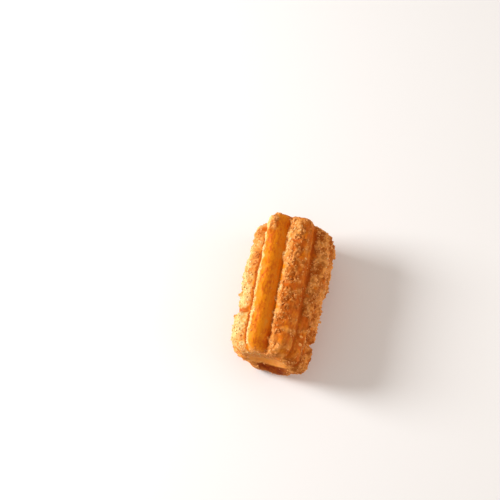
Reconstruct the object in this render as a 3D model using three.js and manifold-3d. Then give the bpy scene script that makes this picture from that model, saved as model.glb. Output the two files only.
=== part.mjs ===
// A short fried churro, lying on its side: a rope of dough pushed through a star nozzle, cut off at about
// a thumb's length and fried until its crust is crisp, then rolled in cinnamon sugar.
//
// Millimetres. The churro lies along X with its best side up (+Z). The origin is on the table, under the
// middle of the churro's box. Seen from above with +X away from the viewer, +Y is the left-hand side.

import * as THREE from 'three';
import { mergeVertices } from 'three/addons/utils/BufferGeometryUtils.js';
import Module from 'manifold-3d';

const { lerp, smoothstep, degToRad, euclideanModulo } = THREE.MathUtils;

// ---- Driving dimensions ------------------------------------------------------------------------------

const LENGTH = 48.2; // from cut end to cut end, before the ends' own unevenness
const CREST_RADIUS = 13.0; // from the centre line to a ridge's crest, on average along it
const BELLY = 0.5; // how far the middle swells in the fryer
const REST_DEPTH = 11.4; // from the centre line down to the table

const CRUST = { colour: 0xc97a2e, roughness: 0.85, metalness: 0 };

// The eight ridges, clockwise as seen from the near end, from the upper left. Pairs are [near, far] end.
//   angle   where the crest sits: degrees from straight up, positive towards -Y
//   rise    how far the crest stands over CREST_RADIUS
//   groove  how deep the groove after it is
//   floor   where in the gap the groove's floor lies, 0.5 being half-way to the next crest
//   late    how late the groove's other side rises: 1 evenly, more keeps it low and then makes it steep
//   reach   how far the ridge sticks out past LENGTH
const ridge = (name, angle, rise, groove, floor, late, reach) => {
  return { name, angle, rise, groove, floor, late, reach };
};

const RIDGES = [
  ridge('left', [-81, -88], [-0.6, 0.0], [2.7, 3.0], [0.56, 0.25], [1.5, 2.4], [-1.8, -1.0]),
  ridge('smooth', [-21, -35], [0.1, 0.3], [3.2, 3.7], [0.57, 0.47], [1, 1], [-1.0, 1.2]),
  ridge('top', [19, 14], [0.1, 0.1], [0.6, 2.9], [0.7, 0.52], [1, 1], [-0.4, 1.0]),
  ridge('shaded', [50, 66], [0.5, 0.9], [2.4, 2.2], [0.56, 0.52], [1, 1], [0.6, -0.7]),
  ridge('right', [90, 106], [0.9, 1.3], [3.0, 2.8], [0.5, 0.5], [1, 1], [2.0, -0.9]),
  ridge('right_foot', [146, 155], [0.2, 0.2], [2.9, 2.5], [0.5, 0.5], [1, 1], [1.2, -0.6]),
  ridge('left_foot', [197, 201], [0.1, 0.1], [2.3, 2.6], [0.5, 0.5], [1, 1], [0.3, -0.2]),
  ridge('left_back', [237, 237], [-0.1, -0.1], [2.6, 2.3], [0.5, 0.5], [1, 1], [-1.3, -0.2]),
];

// Creases that run across the ridges, where the crust tore or folded over, and swellings, whose depth is
// negative.
//   at      where along X; around: the middle in degrees; half: how far it reaches either side
const CREASES = [
  { name: 'tear in the left ridge', at: -9.5, around: -77, half: 22, width: 1.0, depth: 1.2 },
  { name: 'fold behind the near end', at: -15.2, around: 88, half: 34, width: 1.1, depth: 1.4 },
  { name: 'hollow in the right side', at: 0.0, around: 95, half: 40, width: 4.0, depth: 0.9 },
  { name: 'bulge in the right side', at: 9.0, around: 92, half: 45, width: 6.5, depth: -0.7 },
  { name: 'nick in the top ridge', at: 15.5, around: 6, half: 9, width: 0.8, depth: 0.7 },
  { name: 'tear in the back ridge', at: 6.0, around: 238, half: 15, width: 0.9, depth: 1.2 },
];
const CREASE_FULL = 0.5; // the share of a crease's half over which it is fully deep

// ---- The star section --------------------------------------------------------------------------------

const WANDER = { degrees: 1.2, wavelength: 37, step: 2.4 }; // each crest drifts a little from side to side
const SWELL = { height: 0.22, wavelength: 19, step: 1.9 }; // and rises and falls a little
const GROOVE_SOFTNESS = 0.16; // 0 makes a knife-sharp groove, 1 a smooth wave

// From -1 at the near end to 1 at the far end.
const share = (x) => x / (LENGTH / 2);

// A ridge's value from its [near, far] pair.
const between = (pair, x) => lerp(pair[0], pair[1], (share(x) + 1) / 2);

function crestAngle(index, x) {
  const drift = WANDER.degrees * Math.sin((2 * Math.PI * x) / WANDER.wavelength + WANDER.step * index);
  return between(RIDGES[index].angle, x) + drift;
}

function crestRadius(index, x) {
  const swell = SWELL.height * Math.sin((2 * Math.PI * x) / SWELL.wavelength + SWELL.step * index);
  const belly = BELLY * (1 - share(x) ** 2) - BELLY / 2;
  return CREST_RADIUS + between(RIDGES[index].rise, x) + belly + swell;
}

// 0 on a crest and 1 on the groove's floor: round over the crest, a soft V in the groove.
function grooveShape(gap, floor, late) {
  const phase = gap < floor ? (0.5 * gap) / floor : 0.5 + 0.5 * ((gap - floor) / (1 - floor)) ** late;
  const soft = GROOVE_SOFTNESS;
  const top = Math.hypot(1, soft);
  return (top - Math.hypot(Math.cos(Math.PI * phase), soft)) / (top - soft);
}

// The section at x, a share `gap` of the way from ridge `index` to the next one.
function starPoint(index, gap, x) {
  const here = RIDGES[index];
  const next = (index + 1) % RIDGES.length;
  const start = crestAngle(index, x);
  const end = crestAngle(next, x) + (next === 0 ? 360 : 0);
  const ease = smoothstep(gap, 0, 1);
  const crest = lerp(crestRadius(index, x), crestRadius(next, x), ease);
  const shape = grooveShape(gap, between(here.floor, x), between(here.late, x));
  return {
    angle: lerp(start, end, gap),
    radius: crest - between(here.groove, x) * shape,
    reach: here.reach.map((value, k) => lerp(value, RIDGES[next].reach[k], ease)),
  };
}

// ---- Creases and the crust's bumps -------------------------------------------------------------------

// Signed degrees from b to a, the short way round.
const turnBetween = (a, b) => euclideanModulo(a - b + 180, 360) - 180;

function creaseDepth(x, angle) {
  return CREASES.reduce((sum, { at, around, half, width, depth }) => {
    const along = Math.exp(-(((x - at) / width) ** 2));
    const across = 1 - smoothstep(Math.abs(turnBetween(angle, around)), half * CREASE_FULL, half);
    return sum + depth * along * across;
  }, 0);
}

// The sides that the sugar and the blisters left bare. from and to are degrees, as [near, far] pairs, and
// along is the stretch of X.
const BARE_SIDES = [
  { name: 'groove behind the smooth ridge', from: [-56, -74], to: [-40, -54], along: [-24, 24] },
  { name: 'face of the smooth ridge', from: [-20, -33], to: [1, -13], along: [-24, 26] },
  { name: 'face of the top ridge, near', from: [24, 24], to: [45, 45], along: [-22, -4] },
  { name: 'face of the top ridge, far', from: [20, 20], to: [38, 38], along: [11, 24] },
  { name: 'groove in the shaded side, near', from: [66, 66], to: [77, 77], along: [-20, -7] },
];
const BARE_EDGE = { degrees: 3, along: 1.5 }; // how softly a bare side begins and ends

// 0 outside the stretch from start to stop, 1 inside it.
function inside(value, start, stop, edge) {
  return smoothstep(value, start - edge, start + edge) * (1 - smoothstep(value, stop - edge, stop + edge));
}

// 1 where sugar and blisters cover the crust, 0 on a bare side.
function crustCover(x, angle) {
  const turned = turnBetween(angle, 0);
  return BARE_SIDES.reduce((cover, { from, to, along }) => {
    const across = inside(turned, between(from, x), between(to, x), BARE_EDGE.degrees);
    return cover * (1 - across * inside(x, along[0], along[1], BARE_EDGE.along));
  }, 1);
}

// Random numbers from 0 to 1 that are the same each run.
function seededRandom(seed) {
  let state = seed;
  return () => {
    state = (Math.imul(state, 1664525) + 1013904223) >>> 0;
    return state / 2 ** 32;
  };
}

// Bumps are the sum of many small waves that each run their own way through the crust.
function bumps(name, height, wavelength, count, seed) {
  const random = seededRandom(seed);
  const waves = Array.from({ length: count }, () => {
    const along = 2 * random() - 1;
    const turn = 2 * Math.PI * random();
    const length = lerp(wavelength[0], wavelength[1], random());
    const across = Math.sqrt(1 - along ** 2);
    const way = new THREE.Vector3(along, across * Math.cos(turn), across * Math.sin(turn));
    return { way: way.multiplyScalar((2 * Math.PI) / length), start: 2 * Math.PI * random() };
  });
  return { name, scale: height * Math.sqrt(2 / count), waves };
}

// Their heights are on average, over the waves' shortest and longest wavelengths.
const CRUST_BUMPS = [
  bumps('blisters', 0.15, [3.0, 7.0], 36, 5),
  bumps('clumps of sugar and crumbs', 0.09, [1.7, 2.8], 36, 9),
];

function crustHeight(point) {
  return CRUST_BUMPS.reduce((sum, { scale, waves }) => {
    const height = waves.reduce((total, { way, start }) => total + Math.sin(way.dot(point) + start), 0);
    return sum + scale * height;
  }, 0);
}

// ---- The profile -------------------------------------------------------------------------------------

// From the middle of the near end face, over its rim, along the side, and into the far end.
//   x: along the churro; out: how far out from the centre line, 1 being the star's own outline
const END = {
  dish: 2.0, // how far the middle of an end face is sunk
  dishEdge: 0.15, // where in the face the dish starts to rise
  rim: 0.66, // where the face ends and the rounded rim begins
  round: 3.6, // how long the rounded rim is, along X
  core: 11.5, // radius of the plain round shape in the middle of the face
  starFrom: 0.4, // where in the face the grooves begin to show
  reachFrom: 0.6, // from where along the half length a ridge's own reach begins to stretch it
  reachFull: 0.95, // and from where it does so fully
  faceRings: 5,
  rimRings: 5,
};
const SIDE_RINGS = 34;

function endRings(sign) {
  const rings = [];
  for (let i = 0; i <= END.faceRings; i++) {
    const out = (END.rim * i) / END.faceRings;
    const dish = END.dish * (1 - smoothstep(out / END.rim, END.dishEdge, 1));
    rings.push({ x: sign * (LENGTH / 2 - dish), out });
  }
  for (let i = 1; i <= END.rimRings; i++) {
    const bend = (Math.PI / 2) * (i / END.rimRings);
    rings.push({
      x: sign * (LENGTH / 2 - END.round * (1 - Math.cos(bend))),
      out: END.rim + (1 - END.rim) * Math.sin(bend),
    });
  }
  return rings;
}

const sideHalf = LENGTH / 2 - END.round;
const sideRings = Array.from({ length: SIDE_RINGS }, (_, i) => ({
  x: lerp(-sideHalf, sideHalf, (i + 1) / (SIDE_RINGS + 1)),
  out: 1,
}));
const PROFILE = [...endRings(-1), ...sideRings, ...endRings(1).reverse()];

// ---- The dough body ----------------------------------------------------------------------------------

const STEPS_PER_RIDGE = 12;
const STEPS_AROUND = RIDGES.length * STEPS_PER_RIDGE;

// The finished skin for one ring of the profile and one step round it, about the centre line.
function skinAt(ring, step) {
  const turn = euclideanModulo(step, STEPS_AROUND);
  const index = Math.floor(turn / STEPS_PER_RIDGE);
  const star = starPoint(index, (turn % STEPS_PER_RIDGE) / STEPS_PER_RIDGE, ring.x);
  const toEnd = smoothstep(Math.abs(share(ring.x)), END.reachFrom, END.reachFull) * ring.out;
  const x = ring.x + Math.sign(ring.x) * star.reach[ring.x < 0 ? 0 : 1] * toEnd;
  const starred = smoothstep(ring.out, END.starFrom, 1);
  const radius = lerp(END.core, star.radius - creaseDepth(x, star.angle), starred) * ring.out;
  const across = degToRad(star.angle);
  const outward = new THREE.Vector3(0, -Math.sin(across), Math.cos(across));
  const point = outward.clone().multiplyScalar(radius).setX(x);
  const cover = crustCover(x, star.angle);
  point.addScaledVector(outward, crustHeight(point) * cover * ring.out);
  return { point, outward, cover };
}

function bodyGeometry() {
  const outline = PROFILE.map(({ x, out }) => new THREE.Vector2(out * CREST_RADIUS, x));
  const lathe = new THREE.LatheGeometry(outline, STEPS_AROUND);
  const position = lathe.getAttribute('position');
  for (let i = 0; i < position.count; i++) {
    const step = Math.floor(i / PROFILE.length);
    const { point } = skinAt(PROFILE[i % PROFILE.length], step);
    position.setXYZ(i, point.x, point.y, point.z + REST_DEPTH);
  }
  return lathe;
}

// ---- Crumbs stuck to the crust -----------------------------------------------------------------------

const CRUMBS = {
  count: 26,
  radius: [0.6, 1.1],
  flatness: [0.6, 1], // a crumb's other two sizes, as shares of its radius
  sunk: 0.4, // how deep it sits, as a share of its radius
  spread: 0.6, // how widely it may sit about the crest, as a share of the gap
  cover: 0.9, // none where the crust is barer than this
  lowest: -REST_DEPTH / 2, // none below this height, where the churro rests
  seed: 20,
};

function crumbGeometries() {
  const random = seededRandom(CRUMBS.seed);
  const turn = () => random() * 2 * Math.PI;
  const flat = () => lerp(CRUMBS.flatness[0], CRUMBS.flatness[1], random());
  const crumbs = [];
  while (crumbs.length < CRUMBS.count) {
    const offCrest = Math.round((random() - 0.5) * CRUMBS.spread * STEPS_PER_RIDGE);
    const step = Math.floor(random() * RIDGES.length) * STEPS_PER_RIDGE + offCrest;
    const seat = skinAt(sideRings[Math.floor(random() * sideRings.length)], step);
    const radius = lerp(CRUMBS.radius[0], CRUMBS.radius[1], random() ** 2);
    const turned = new THREE.Quaternion().setFromEuler(new THREE.Euler(turn(), turn(), turn()));
    const size = new THREE.Vector3(1, flat(), flat()).multiplyScalar(radius);
    if (seat.cover < CRUMBS.cover || seat.point.z < CRUMBS.lowest) continue;
    const middle = seat.point.addScaledVector(seat.outward, -CRUMBS.sunk * radius);
    middle.z += REST_DEPTH;
    const place = new THREE.Matrix4().compose(middle, turned, size);
    crumbs.push(new THREE.IcosahedronGeometry(1, 0).applyMatrix4(place));
  }
  return crumbs;
}

// ---- Joining it all into one solid that rests on the table -------------------------------------------

const MERGE_DISTANCE = 1e-4;
const TABLE = { size: 120, thickness: 20 };

const wasm = await Module();
wasm.setup();

function solidOf(geometry) {
  const bare = geometry.clone();
  bare.deleteAttribute('normal');
  bare.deleteAttribute('uv');
  const merged = mergeVertices(bare, MERGE_DISTANCE);
  const triangles = [];
  for (let i = 0; i < merged.index.count; i += 3) {
    const corners = [0, 1, 2].map((k) => merged.index.getX(i + k));
    if (new Set(corners).size === 3) triangles.push(...corners); // the poles' triangles have no width
  }
  const mesh = new wasm.Mesh({
    numProp: 3,
    vertProperties: merged.attributes.position.array,
    triVerts: new Uint32Array(triangles),
  });
  return new wasm.Manifold(mesh);
}

function geometryOf(solid) {
  const mesh = solid.getMesh();
  const geometry = new THREE.BufferGeometry();
  geometry.setAttribute('position', new THREE.BufferAttribute(mesh.vertProperties, mesh.numProp));
  geometry.setIndex(new THREE.BufferAttribute(mesh.triVerts, 1));
  geometry.computeVertexNormals();
  return geometry;
}

// The two foot ridges are pressed flat where the churro lies on the table.
const table = new THREE.BoxGeometry(TABLE.size, TABLE.size, TABLE.thickness);
table.translate(0, 0, -TABLE.thickness / 2);
const dough = solidOf(bodyGeometry());
const crumbed = crumbGeometries().reduce((solid, crumb) => solid.add(solidOf(crumb)), dough);
const resting = crumbed.subtract(solidOf(table));

// Centred over the origin, whatever the ends' unevenness did to the box.
const churroGeometry = geometryOf(resting);
churroGeometry.computeBoundingBox();
const middle = churroGeometry.boundingBox.getCenter(new THREE.Vector3());
churroGeometry.translate(-middle.x, -middle.y, 0);

const crustMaterial = new THREE.MeshStandardMaterial({
  color: CRUST.colour,
  roughness: CRUST.roughness,
  metalness: CRUST.metalness,
});
const churro = new THREE.Mesh(churroGeometry, crustMaterial);
churro.name = 'churro';

const group = new THREE.Group();
group.add(churro);

export default group;
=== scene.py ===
# %% [markdown]
# # A churro in cinnamon sugar
#
# A churro is a rope of stiff dough pushed through a star nozzle, cut off and fried. The nozzle gives it
# ridges, the hot oil a crisp golden crust, and a roll in cinnamon sugar the grains that stick to it.
#
# The part's solid already has the true form. This file makes its looks: a finer skin over the same form,
# and on it the crumbs, the sugar and the cinnamon as small real meshes. The dough's sizes are written in
# millimetres, as a baker would measure them, and turned into metres where a mesh is made.

# %% Load the solid
import math

import bmesh
import bpy
import numpy as np
from mathutils import Euler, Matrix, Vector


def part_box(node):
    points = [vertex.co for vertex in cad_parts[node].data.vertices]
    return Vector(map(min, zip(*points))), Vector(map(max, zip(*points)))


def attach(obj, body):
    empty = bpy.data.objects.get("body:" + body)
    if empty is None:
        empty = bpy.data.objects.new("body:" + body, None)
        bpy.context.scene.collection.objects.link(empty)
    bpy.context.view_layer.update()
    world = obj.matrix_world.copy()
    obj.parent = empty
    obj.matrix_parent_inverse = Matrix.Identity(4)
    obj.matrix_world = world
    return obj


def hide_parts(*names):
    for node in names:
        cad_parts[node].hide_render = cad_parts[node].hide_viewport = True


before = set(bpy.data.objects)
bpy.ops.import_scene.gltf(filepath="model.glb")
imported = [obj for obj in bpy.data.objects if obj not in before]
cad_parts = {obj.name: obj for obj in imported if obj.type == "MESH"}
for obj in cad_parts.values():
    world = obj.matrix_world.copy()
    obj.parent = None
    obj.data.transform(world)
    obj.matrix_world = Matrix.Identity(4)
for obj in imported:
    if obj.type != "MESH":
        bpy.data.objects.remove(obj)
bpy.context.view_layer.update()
MM = 0.001

# %% [markdown]
# ## The camera
#
# The camera looks down on the churro from the side of its near end, a little off its length. It could be
# turned by hand until it looks right. It is worked out instead from two angles and a scale, so that the
# same numbers always give the same view.

# %% Camera
FRAME_PIXELS = 500
SENSOR_WIDTH = 36.0
CAMERA_HEIGHT_ANGLE = 71.0  # degrees over the table
CAMERA_SIDE_ANGLE = 9.8  # degrees off the churro's near end
CAMERA_DISTANCE = 0.65
PIXELS_PER_MM = 3.02
CHURRO_AT = (285, 293)  # the pixel on which the churro's middle falls, from the top left

low_corner, high_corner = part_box("churro")
churro_middle = (low_corner + high_corner) / 2
side_angle = math.radians(CAMERA_SIDE_ANGLE - 90)
height_angle = math.radians(CAMERA_HEIGHT_ANGLE)
to_camera = Vector((
    math.sin(side_angle) * math.cos(height_angle),
    -math.cos(side_angle) * math.cos(height_angle),
    math.sin(height_angle),
))
facing = (-to_camera).to_track_quat("-Z", "Y")
view_right = facing @ Vector((1, 0, 0))
view_up = facing @ Vector((0, 1, 0))

focal_pixels = PIXELS_PER_MM / MM * CAMERA_DISTANCE
metres_per_pixel = CAMERA_DISTANCE / focal_pixels
right_of_middle = (CHURRO_AT[0] - FRAME_PIXELS / 2) * metres_per_pixel
below_middle = (CHURRO_AT[1] - FRAME_PIXELS / 2) * metres_per_pixel
look_at = churro_middle - view_right * right_of_middle + view_up * below_middle


def add_object(name, data):
    made = bpy.data.objects.new(name, data)
    bpy.context.scene.collection.objects.link(made)
    return made


camera = add_object("camera", bpy.data.cameras.new("camera"))
camera.data.sensor_width = SENSOR_WIDTH
camera.data.lens = SENSOR_WIDTH * focal_pixels / FRAME_PIXELS
camera.location = churro_middle + to_camera * CAMERA_DISTANCE
camera.rotation_euler = (look_at - camera.location).to_track_quat("-Z", "Y").to_euler()
bpy.context.scene.camera = camera
print("lens:", round(camera.data.lens, 1), "mm")

# %% [markdown]
# ## Small helpers for node trees
#
# Every finish below is a tree of nodes. It could be wired one line at a time. These helpers add a node and
# set or link its sockets in one call, so that a finish reads as a list of what it is made of.


# %% Node helpers
def add_node(tree, kind, inputs=None, **settings):
    node = tree.nodes.new(kind)
    for name, value in settings.items():
        setattr(node, name, value)
    for socket, value in (inputs or {}).items():
        if isinstance(value, bpy.types.NodeSocket):
            tree.links.new(value, node.inputs[socket])
        else:
            node.inputs[socket].default_value = value
    return node


# The mix node's sockets for numbers and for colours have the same names, so these are their places.
MIX_AMOUNT = 0
MIX_FIRST = 6
MIX_SECOND = 7
MIX_RESULT = 2


def mix_colours(tree, amount, first, second):
    sockets = {MIX_AMOUNT: amount, MIX_FIRST: first, MIX_SECOND: second}
    return add_node(tree, "ShaderNodeMix", sockets, data_type="RGBA").outputs[MIX_RESULT]


def maths(tree, operation, first, second=0.0, third=0.0):
    sockets = {0: first, 1: second, 2: third}
    return add_node(tree, "ShaderNodeMath", sockets, operation=operation).outputs[0]


def ramp(tree, value, start, stop):
    sockets = {"Value": value, "From Min": start, "From Max": stop}
    node = add_node(tree, "ShaderNodeMapRange", sockets, interpolation_type="SMOOTHSTEP")
    return node.outputs["Result"]


def own_value(tree, name):
    node = add_node(tree, "ShaderNodeAttribute", attribute_name=name)
    return node.outputs["Fac"]


def new_group(name, inputs, outputs):
    group = bpy.data.node_groups.new(name, "ShaderNodeTree")
    for title, kind, value in inputs:
        socket = group.interface.new_socket(title, in_out="INPUT", socket_type="NodeSocket" + kind)
        socket.default_value = value
    for title, kind in outputs:
        group.interface.new_socket(title, in_out="OUTPUT", socket_type="NodeSocket" + kind)
    source = group.nodes.new("NodeGroupInput")
    sink = group.nodes.new("NodeGroupOutput")
    return group, source.outputs, sink.inputs


def use_group(tree, group, inputs):
    return add_node(tree, "ShaderNodeGroup", inputs, node_tree=group).outputs


def new_finish(name):
    material = bpy.data.materials.new(name)
    material.use_nodes = True
    print("finish:", name)
    return material, material.node_tree, material.node_tree.nodes["Principled BSDF"]


def set_sheen(shader, roughness, specular):
    shader.inputs["Roughness"].default_value = roughness
    shader.inputs["Specular IOR Level"].default_value = specular


def add_bumps(tree, shader, height, strength, millimetres):
    sockets = {"Height": height, "Strength": strength, "Distance": millimetres * MM}
    bump = add_node(tree, "ShaderNodeBump", sockets)
    tree.links.new(bump.outputs["Normal"], shader.inputs["Normal"])


# %% [markdown]
# ## The table and the light
#
# The churro lies on a plain pale table. A sun lamp could light it, but its shadows would be hard. A soft
# box lights it from the left and a little from behind. A weak light from the right, such as a white board
# gives, and an even sky fill the shade, so that the ridges show and the grooves stay readable.

# %% Table
TABLE_SIZE = 3.0
TABLE_COLOUR = (0.95, 0.945, 0.94, 1)


def mesh_of(name, shape):
    mesh = bpy.data.meshes.new(name)
    shape.to_mesh(mesh)
    shape.free()
    return mesh


table_shape = bmesh.new()
bmesh.ops.create_grid(table_shape, x_segments=1, y_segments=1, size=TABLE_SIZE / 2)
table = add_object("table", mesh_of("table", table_shape))

table_finish, tree, shader = new_finish("table_top")
shader.inputs["Base Color"].default_value = TABLE_COLOUR
shader.inputs["Roughness"].default_value = 0.7
table.data.materials.append(table_finish)
print("table:", TABLE_SIZE, "m across")

# %% Lights
# A light's direction is as the camera sees it: how far to its right, up, and toward it.
LIGHT_DISTANCE = 0.5
SOFT_BOX_FROM = (-0.87, 0.29, 0.41)
SOFT_BOX_SIZE = 0.2
SOFT_BOX_WATTS = 2.9
SOFT_BOX_COLOUR = (0.97, 0.99, 1.0)
BOARD_FROM = (0.93, 0.05, 0.33)
BOARD_SIZE = 0.4
BOARD_WATTS = 0.85
BOARD_COLOUR = (1.0, 0.93, 0.86)
SKY_COLOUR = (1.0, 0.895, 0.82, 1)
SKY_STRENGTH = 0.47


def add_light(name, seen_from, size, watts, colour):
    right, up, toward = seen_from
    direction = (view_right * right + view_up * up + to_camera * toward).normalized()
    lamp = bpy.data.lights.new(name, "AREA")
    lamp.shape = "DISK"
    lamp.size = size
    lamp.energy = watts
    lamp.color = colour
    holder = add_object(name, lamp)
    holder.location = churro_middle + direction * LIGHT_DISTANCE
    holder.rotation_euler = (-direction).to_track_quat("-Z", "Y").to_euler()
    print(name, "lights from", [round(value, 2) for value in direction])


add_light("soft_box", SOFT_BOX_FROM, SOFT_BOX_SIZE, SOFT_BOX_WATTS, SOFT_BOX_COLOUR)
add_light("white_board", BOARD_FROM, BOARD_SIZE, BOARD_WATTS, BOARD_COLOUR)

sky = bpy.data.worlds.new("sky")
sky.use_nodes = True
background = sky.node_tree.nodes["Background"]
background.inputs["Color"].default_value = SKY_COLOUR
background.inputs["Strength"].default_value = SKY_STRENGTH
bpy.context.scene.world = sky
bpy.context.scene.view_settings.view_transform = "Standard"

# %% [markdown]
# ## The dough's form
#
# Eight ridges run along the churro. None is like the next: each has its own angle, height and groove, and
# drifts a little on its way from the near to the far end. A star could be drawn once and stretched, but
# then all ridges would be straight and alike. Here each point of the skin is worked out from the ridge
# before it and the ridge after it.

# %% Sizes of the dough
LENGTH = 48.2
CREST_RADIUS = 13.0
BELLY = 0.5  # how far the middle swells in the oil
REST_DEPTH = 11.4  # from the centre line down to the table

# Each pair is for the near and the far end. Angles are degrees from straight up, to the right.
RIDGE_TABLE = {
    # name: crest's angle, its rise, depth of the groove after it, place of its floor, how late the
    # groove's other side rises, reach at the ends
    "left": ((-81, -88), (-0.6, 0.0), (2.7, 3.0), (0.56, 0.25), (1.5, 2.4), (-1.8, -1.0)),
    "smooth": ((-21, -35), (0.1, 0.3), (3.2, 3.7), (0.57, 0.47), (1, 1), (-1.0, 1.2)),
    "top": ((19, 14), (0.1, 0.1), (0.6, 2.9), (0.7, 0.52), (1, 1), (-0.4, 1.0)),
    "shaded": ((50, 66), (0.5, 0.9), (2.4, 2.2), (0.56, 0.52), (1, 1), (0.6, -0.7)),
    "right": ((90, 106), (0.9, 1.3), (3.0, 2.8), (0.5, 0.5), (1, 1), (2.0, -0.9)),
    "right_foot": ((146, 155), (0.2, 0.2), (2.9, 2.5), (0.5, 0.5), (1, 1), (1.2, -0.6)),
    "left_foot": ((197, 201), (0.1, 0.1), (2.3, 2.6), (0.5, 0.5), (1, 1), (0.3, -0.2)),
    "left_back": ((237, 237), (-0.1, -0.1), (2.6, 2.3), (0.5, 0.5), (1, 1), (-1.3, -0.2)),
}
RIDGES = len(RIDGE_TABLE)
ANGLE, RISE, GROOVE, FLOOR, LATE, REACH = np.array(list(RIDGE_TABLE.values()), float).transpose(1, 0, 2)

# Along the churro a ridge wanders and swells in waves, and each ridge starts its waves a step later.
WANDER_DEGREES = 1.2
WANDER_LENGTH = 37.0
WANDER_STEP = 2.4
SWELL_HEIGHT = 0.22
SWELL_LENGTH = 19.0
SWELL_STEP = 1.9
GROOVE_SOFTNESS = 0.16  # how round a groove's floor is
print(RIDGES, "ridges:", ", ".join(RIDGE_TABLE))


# %% Star section
def smoothstep(value, start, stop):
    part = np.clip((value - start) / (stop - start), 0, 1)
    return part * part * (3 - 2 * part)


def mix(first, second, amount):
    return first + (second - first) * amount


def share(x):
    """How far x is from the middle to an end, from -1 at the near end to 1 at the far one."""
    return x / (LENGTH / 2)


def between(pairs, x):
    return mix(pairs[..., 0], pairs[..., 1], (share(x) + 1) / 2)


def crest_angle(ridge, x):
    drift = WANDER_DEGREES * np.sin(2 * math.pi * x / WANDER_LENGTH + WANDER_STEP * ridge)
    return between(ANGLE[ridge], x) + drift


def crest_radius(ridge, x):
    swell = SWELL_HEIGHT * np.sin(2 * math.pi * x / SWELL_LENGTH + SWELL_STEP * ridge)
    belly = BELLY * (1 - share(x) ** 2) - BELLY / 2
    return CREST_RADIUS + between(RISE[ridge], x) + belly + swell


def groove_shape(gap, floor, late):
    """Depth from 0 to 1 at a place between two crests. The phase is 0 at a crest and 0.5 on the floor."""
    before = 0.5 * gap / floor
    after = 0.5 + 0.5 * np.maximum((gap - floor) / (1 - floor), 0) ** late
    phase = np.where(gap < floor, before, after)
    top = math.hypot(1, GROOVE_SOFTNESS)
    return (top - np.hypot(np.cos(math.pi * phase), GROOVE_SOFTNESS)) / (top - GROOVE_SOFTNESS)


# %% [markdown]
# ## Tears and folds
#
# The crust tore and folded in a few places as it swelled in the oil. A tear could be cut with a knife tool.
# A formula that lowers the skin there serves the form and the colour with the same row of numbers.

# %% Tears and folds
# Each is where along the churro, its middle in degrees, how far it reaches, its width and its depth.
CREASES = {
    "tear in the left ridge": (-9.5, -77, 22, 1.0, 1.2),
    "fold behind the near end": (-15.2, 88, 34, 1.1, 1.4),
    "hollow in the right side": (0.0, 95, 40, 4.0, 0.9),
    "bulge in the right side": (9.0, 92, 45, 6.5, -0.7),
    "nick in the top ridge": (15.5, 6, 9, 0.8, 0.7),
    "tear in the back ridge": (6.0, 238, 15, 0.9, 1.2),
}
CREASE_FULL = 0.5  # the share of its reach on which it is full
TEARS = {name: crease for name, crease in CREASES.items() if "tear" in name or "nick" in name}

# These two are too small for the solid and belong to the skin's fine relief.
SMALL_CREASES = {
    "pit behind the smooth ridge": (20.6, -72, 12, 1.1, 0.6),
    "fold across the top ridge": (-15.3, 27, 17, 0.7, -0.25),
}


def turn_between(first, second):
    """Degrees from the second angle to the first, the short way round."""
    return np.mod(first - second + 180, 360) - 180


def crease_depth(x, angle, creases):
    total = np.zeros_like(x)
    for at, around, half, width, depth in creases.values():
        along = np.exp(-(((x - at) / width) ** 2))
        across = 1 - smoothstep(np.abs(turn_between(angle, around)), half * CREASE_FULL, half)
        total += depth * along * across
    return total


# %% [markdown]
# ## Bare sides, the coat and the browning
#
# The sugar missed the grooves and the smooth faces that slid along the nozzle. The crust is painted pale on
# the lit left and brown on the shaded right: painted light and shade, laid into the browning. One colour
# with some noise would be quicker, but would make all ridges alike. So each side has a row: how much coat it
# keeps, and how brown it is.

# %% Bare sides
# From and to in degrees, each for the near and the far end, and the stretch along the churro.
BARE_SIDES = {
    "groove behind the smooth ridge": ((-56, -74), (-40, -54), (-24, 24)),
    "face of the smooth ridge": ((-20, -33), (1, -13), (-24, 26)),
    "face of the top ridge, near": ((24, 24), (45, 45), (-22, -4)),
    "face of the top ridge, far": ((20, 20), (38, 38), (11, 24)),
    "groove in the shaded side, near": ((66, 66), (77, 77), (-20, -7)),
}
SIDE_EDGE_DEGREES = 3.0
SIDE_EDGE_ALONG = 1.5


def inside(value, start, stop, edge):
    """1 from start to stop and 0 outside, with a soft edge to either side of them."""
    entered = smoothstep(value, start - edge, start + edge)
    left = smoothstep(value, stop - edge, stop + edge)
    return entered * (1 - left)


def side_mask(x, angle, start, stop, along):
    start_here = between(np.array(start, float), x)
    stop_here = between(np.array(stop, float), x)
    across = inside(turn_between(angle, 0), start_here, stop_here, SIDE_EDGE_DEGREES)
    return across * inside(x, *along, SIDE_EDGE_ALONG)


def crust_cover(x, angle):
    cover = np.ones_like(x)
    for side in BARE_SIDES.values():
        cover *= 1 - side_mask(x, angle, *side)
    return cover
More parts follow.
